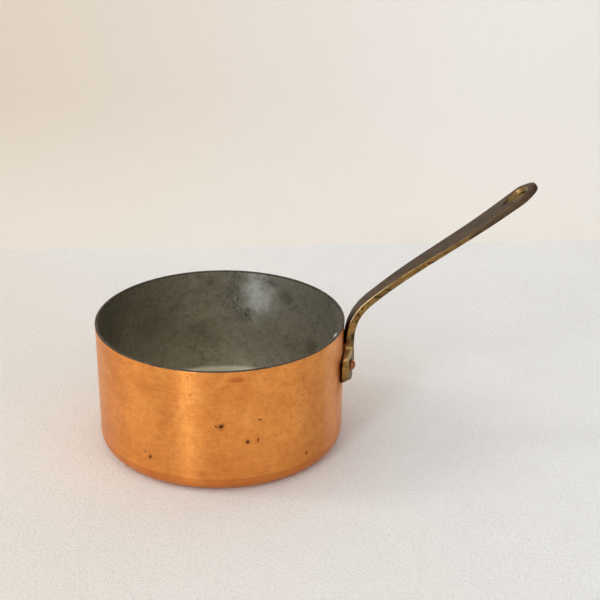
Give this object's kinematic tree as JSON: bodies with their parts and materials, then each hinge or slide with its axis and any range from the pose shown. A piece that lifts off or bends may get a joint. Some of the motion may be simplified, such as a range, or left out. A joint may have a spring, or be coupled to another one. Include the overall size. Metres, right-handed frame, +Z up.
{
  "type": "saucepan",
  "caption": "Straight-sided, tin-lined copper saucepan with a long rising brass handle, riveted to the wall and ending in a drop-shaped hanging hole.",
  "frame": {"origin": "centre of the underside of the base, on the pan's own axis", "axes": "+Z up along the pan's axis, +X from the pan's axis toward the tip of the handle, +Y across the pan"},
  "size_m": [0.2789, 0.16, 0.1764],
  "materials": {
    "copper": "satin",
    "tin": "satin",
    "brass": "satin",
    "rivet_copper": "satin"
  },
  "bodies": {
    "root": {"copper_body": "copper", "tin_lining": "tin", "brass_handle": "brass", "rivet_left": "rivet_copper", "rivet_right": "rivet_copper"}
  },
  "joints": []
}
